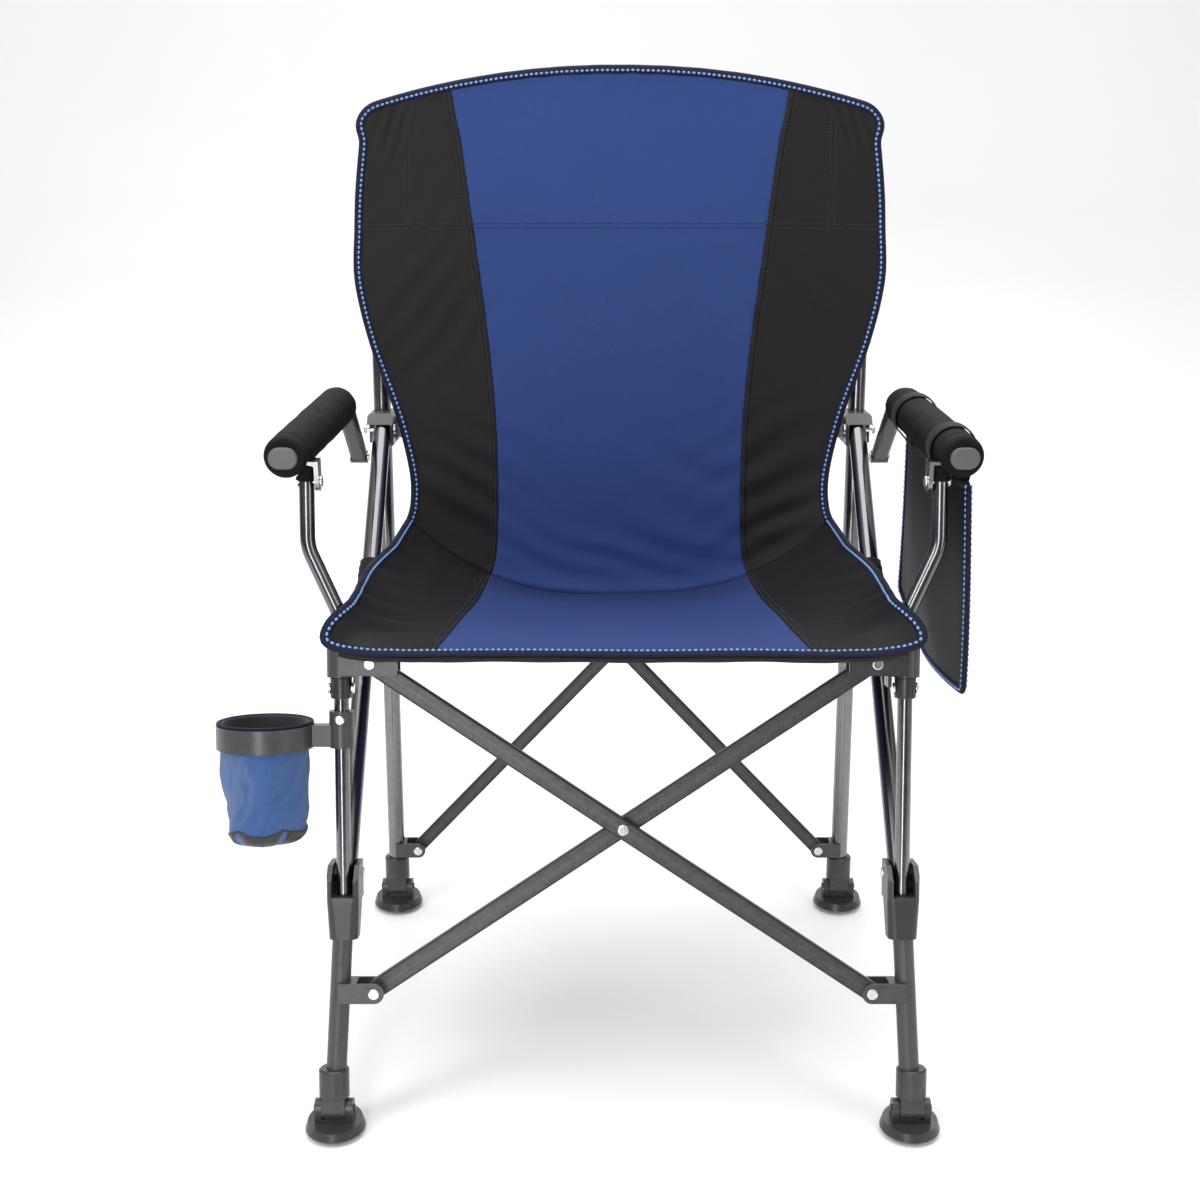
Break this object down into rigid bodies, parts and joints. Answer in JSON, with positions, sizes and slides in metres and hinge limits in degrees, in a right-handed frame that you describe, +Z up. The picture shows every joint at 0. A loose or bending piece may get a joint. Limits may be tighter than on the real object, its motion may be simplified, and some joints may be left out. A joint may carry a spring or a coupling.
{
  "type": "folding camp chair",
  "caption": "Folding camp chair with crossed tube legs, cloth seat and back, foam armrests, a cup holder and a side pouch.",
  "frame": {"origin": "on the floor, midway between the four foot pads", "axes": "+X to the right of a viewer who faces the chair's front, +Y from front to back, +Z up"},
  "size_m": [0.703, 0.5576, 0.952],
  "materials": {
    "dark_tube": "hammered powder coat",
    "bright_tube": "glossy metallic grey",
    "grey_plastic": "satin moulded",
    "pale_plastic": "satin moulded",
    "black_steel": "black coat",
    "rivet_steel": "bright",
    "foam": "closed-cell foam",
    "black_cloth": "woven",
    "blue_cloth": "woven",
    "piping": "bound edge",
    "cup_cloth": "ribbed woven"
  },
  "bodies": {
    "left_back_frame": {"left_back_post": "bright_tube", "left_rear_cross_bracket": "dark_tube", "left_post_rivet": "rivet_steel", "left_rear_ankle": "grey_plastic", "back_sling": "black_cloth"},
    "left_slide": {"left_slider": "grey_plastic", "left_slider_bracket": "black_steel", "left_slider_rivets": "rivet_steel"},
    "left_brace": {"left_side_brace": "bright_tube"},
    "left_front_frame": {"left_front_leg": "dark_tube", "left_hub": "grey_plastic", "left_front_cross_bracket": "dark_tube", "left_leg_rivets": "rivet_steel", "left_front_ankle": "grey_plastic"},
    "left_post_unit": {"left_arm_post": "bright_tube", "left_stop_collar": "grey_plastic", "left_seat_bracket": "grey_plastic", "left_arm_post_rivets": "rivet_steel"},
    "left_arm": {"left_arm_bar": "dark_tube", "left_arm_grip": "foam", "left_arm_plug": "pale_plastic", "left_arm_clip": "bright_tube", "left_arm_rear_rivet": "rivet_steel"},
    "left_front_pad": {"left_front_foot": "grey_plastic"},
    "left_rear_pad": {"left_rear_foot": "grey_plastic"},
    "right_back_frame": {"right_back_post": "bright_tube", "right_rear_cross_bracket": "dark_tube", "right_post_rivet": "rivet_steel", "right_rear_ankle": "grey_plastic"},
    "right_slide": {"right_slider": "grey_plastic", "right_slider_bracket": "black_steel", "right_slider_rivets": "rivet_steel"},
    "right_brace": {"right_side_brace": "bright_tube"},
    "right_front_frame": {"right_front_leg": "dark_tube", "right_hub": "grey_plastic", "right_front_cross_bracket": "dark_tube", "right_leg_rivets": "rivet_steel", "right_front_ankle": "grey_plastic"},
    "right_post_unit": {"right_arm_post": "bright_tube", "right_stop_collar": "grey_plastic", "right_seat_bracket": "grey_plastic", "right_arm_post_rivets": "rivet_steel"},
    "right_arm": {"right_arm_bar": "dark_tube", "right_arm_grip": "foam", "right_arm_plug": "pale_plastic", "right_arm_clip": "bright_tube", "right_arm_rear_rivet": "rivet_steel", "storage_bag": "black_cloth"},
    "right_front_pad": {"right_front_foot": "grey_plastic"},
    "right_rear_pad": {"right_rear_foot": "grey_plastic"},
    "rear_cross_a": {"rear_cross_bar_a": "dark_tube", "rear_cross_rivet": "rivet_steel"},
    "rear_cross_b": {"rear_cross_bar_b": "dark_tube"},
    "front_cross_a": {"front_cross_bar_a": "dark_tube", "front_cross_rivet": "rivet_steel"},
    "front_cross_b": {"front_cross_bar_b": "dark_tube"},
    "cup_holder": {"cup_ring": "grey_plastic", "cup_screw": "rivet_steel", "cup_liner": "cup_cloth"},
    "seat": {"seat_sling": "blue_cloth"}
  },
  "joints": [
    {"name": "fold", "type": "hinge", "parent": "left_back_frame", "child": "rear_cross_a", "pos_m": [-0.2375, 0.22342, 0.06888], "axis": [0, -0.9976, 0.0698], "range_deg": [0, 26], "deforming": ["back_sling", "seat_sling"]},
    {"name": "rear_cross_scissor", "type": "hinge", "parent": "rear_cross_a", "child": "rear_cross_b", "pos_m": [0, 0.24101, 0.32052], "axis": [0, -0.9976, 0.0698], "range_deg": [-52.05, 0]},
    {"name": "right_back_frame_pivot", "type": "hinge", "parent": "rear_cross_b", "child": "right_back_frame", "pos_m": [0.2375, 0.22342, 0.06888], "axis": [0, -0.9976, 0.0698], "range_deg": [0, 26.05]},
    {"name": "left_slide_pivot", "type": "hinge", "parent": "rear_cross_b", "child": "left_slide", "pos_m": [-0.2375, 0.25861, 0.57215], "axis": [0, -0.9976, 0.0698], "range_deg": [0, 26.05]},
    {"name": "right_slide_pivot", "type": "hinge", "parent": "rear_cross_a", "child": "right_slide", "pos_m": [0.2375, 0.25861, 0.57215], "axis": [0, -0.9976, 0.0698], "range_deg": [-26.05, 0]},
    {"name": "left_brace_pivot", "type": "hinge", "parent": "left_slide", "child": "left_brace", "pos_m": [-0.261, 0.22686, 0.57688], "axis": [1, 0, 0], "range_deg": [0, 33.14]},
    {"name": "left_hub_pivot", "type": "hinge", "parent": "left_brace", "child": "left_front_frame", "pos_m": [-0.261, -0.15252, 0.23226], "axis": [1, 0, 0], "range_deg": [-15.03, 0]},
    {"name": "front_cross_pivot", "type": "hinge", "parent": "left_front_frame", "child": "front_cross_a", "pos_m": [-0.233, -0.19436, 0.13108], "axis": [0, -0.9744, 0.225], "range_deg": [0, 35.77]},
    {"name": "front_cross_scissor", "type": "hinge", "parent": "front_cross_a", "child": "front_cross_b", "pos_m": [0, -0.15938, 0.28259], "axis": [0, -0.9744, 0.225], "range_deg": [-71.49, 0]},
    {"name": "right_front_frame_pivot", "type": "hinge", "parent": "front_cross_b", "child": "right_front_frame", "pos_m": [0.233, -0.19436, 0.13108], "axis": [0, -0.9744, 0.225], "range_deg": [0, 35.77]},
    {"name": "right_hub_pivot", "type": "hinge", "parent": "right_front_frame", "child": "right_brace", "pos_m": [0.261, -0.15252, 0.23226], "axis": [1, 0, 0], "range_deg": [0, 15.03]},
    {"name": "left_post_pivot", "type": "hinge", "parent": "front_cross_b", "child": "left_post_unit", "pos_m": [-0.233, -0.1244, 0.43411], "axis": [0, -0.9744, 0.225], "range_deg": [0, 35.77]},
    {"name": "right_post_pivot", "type": "hinge", "parent": "front_cross_a", "child": "right_post_unit", "pos_m": [0.233, -0.1244, 0.43411], "axis": [0, -0.9744, 0.225], "range_deg": [-35.77, 0]},
    {"name": "left_arm_pivot", "type": "hinge", "parent": "left_post_unit", "child": "left_arm", "pos_m": [-0.29, -0.087, 0.597], "axis": [1, 0, 0], "range_deg": [-61.64, 0]},
    {"name": "right_arm_pivot", "type": "hinge", "parent": "right_post_unit", "child": "right_arm", "pos_m": [0.29, -0.087, 0.597], "axis": [1, 0, 0], "range_deg": [-61.64, 0]},
    {"name": "seat_fold", "type": "hinge", "parent": "left_back_frame", "child": "seat", "pos_m": [0, 0.215, 0.392], "axis": [1, 0, 0], "range_deg": [-49.45, 0]},
    {"name": "cup_swivel", "type": "hinge", "parent": "left_post_unit", "child": "cup_holder", "pos_m": [-0.261, -0.13969, 0.36785], "axis": [0, 0.225, 0.9744], "range_deg": [-15, 90]},
    {"name": "left_front_foot_pivot", "type": "hinge", "parent": "left_front_frame", "child": "left_front_pad", "pos_m": [-0.273, -0.22, 0.02], "axis": [1, 0, 0], "range_deg": [-10, 10]},
    {"name": "left_rear_foot_pivot", "type": "hinge", "parent": "left_back_frame", "child": "left_rear_pad", "pos_m": [-0.264, 0.22, 0.02], "axis": [1, 0, 0], "range_deg": [-10, 10]},
    {"name": "right_front_foot_pivot", "type": "hinge", "parent": "right_front_frame", "child": "right_front_pad", "pos_m": [0.273, -0.22, 0.02], "axis": [1, 0, 0], "range_deg": [-10, 10]},
    {"name": "right_rear_foot_pivot", "type": "hinge", "parent": "right_back_frame", "child": "right_rear_pad", "pos_m": [0.264, 0.22, 0.02], "axis": [1, 0, 0], "range_deg": [-10, 10]}
  ],
  "couplings": [
    {"joint": "rear_cross_scissor", "follows": "fold", "ratio": -2},
    {"joint": "right_back_frame_pivot", "follows": "fold", "ratio": 1},
    {"joint": "left_slide_pivot", "follows": "fold", "ratio": 1},
    {"joint": "right_slide_pivot", "follows": "fold", "ratio": -1},
    {"joint": "left_brace_pivot", "follows": "fold", "ratio": 1.2728},
    {"joint": "left_hub_pivot", "follows": "fold", "ratio": -0.57608},
    {"joint": "front_cross_pivot", "follows": "fold", "ratio": 1.3738},
    {"joint": "front_cross_scissor", "follows": "fold", "ratio": -2.7477},
    {"joint": "right_front_frame_pivot", "follows": "fold", "ratio": 1.3738},
    {"joint": "right_hub_pivot", "follows": "fold", "ratio": 0.57608},
    {"joint": "left_post_pivot", "follows": "fold", "ratio": 1.3738},
    {"joint": "right_post_pivot", "follows": "fold", "ratio": -1.3738},
    {"joint": "left_arm_pivot", "follows": "fold", "ratio": -2.3688},
    {"joint": "right_arm_pivot", "follows": "fold", "ratio": -2.3688},
    {"joint": "seat_fold", "follows": "fold", "ratio": -1.9}
  ]
}
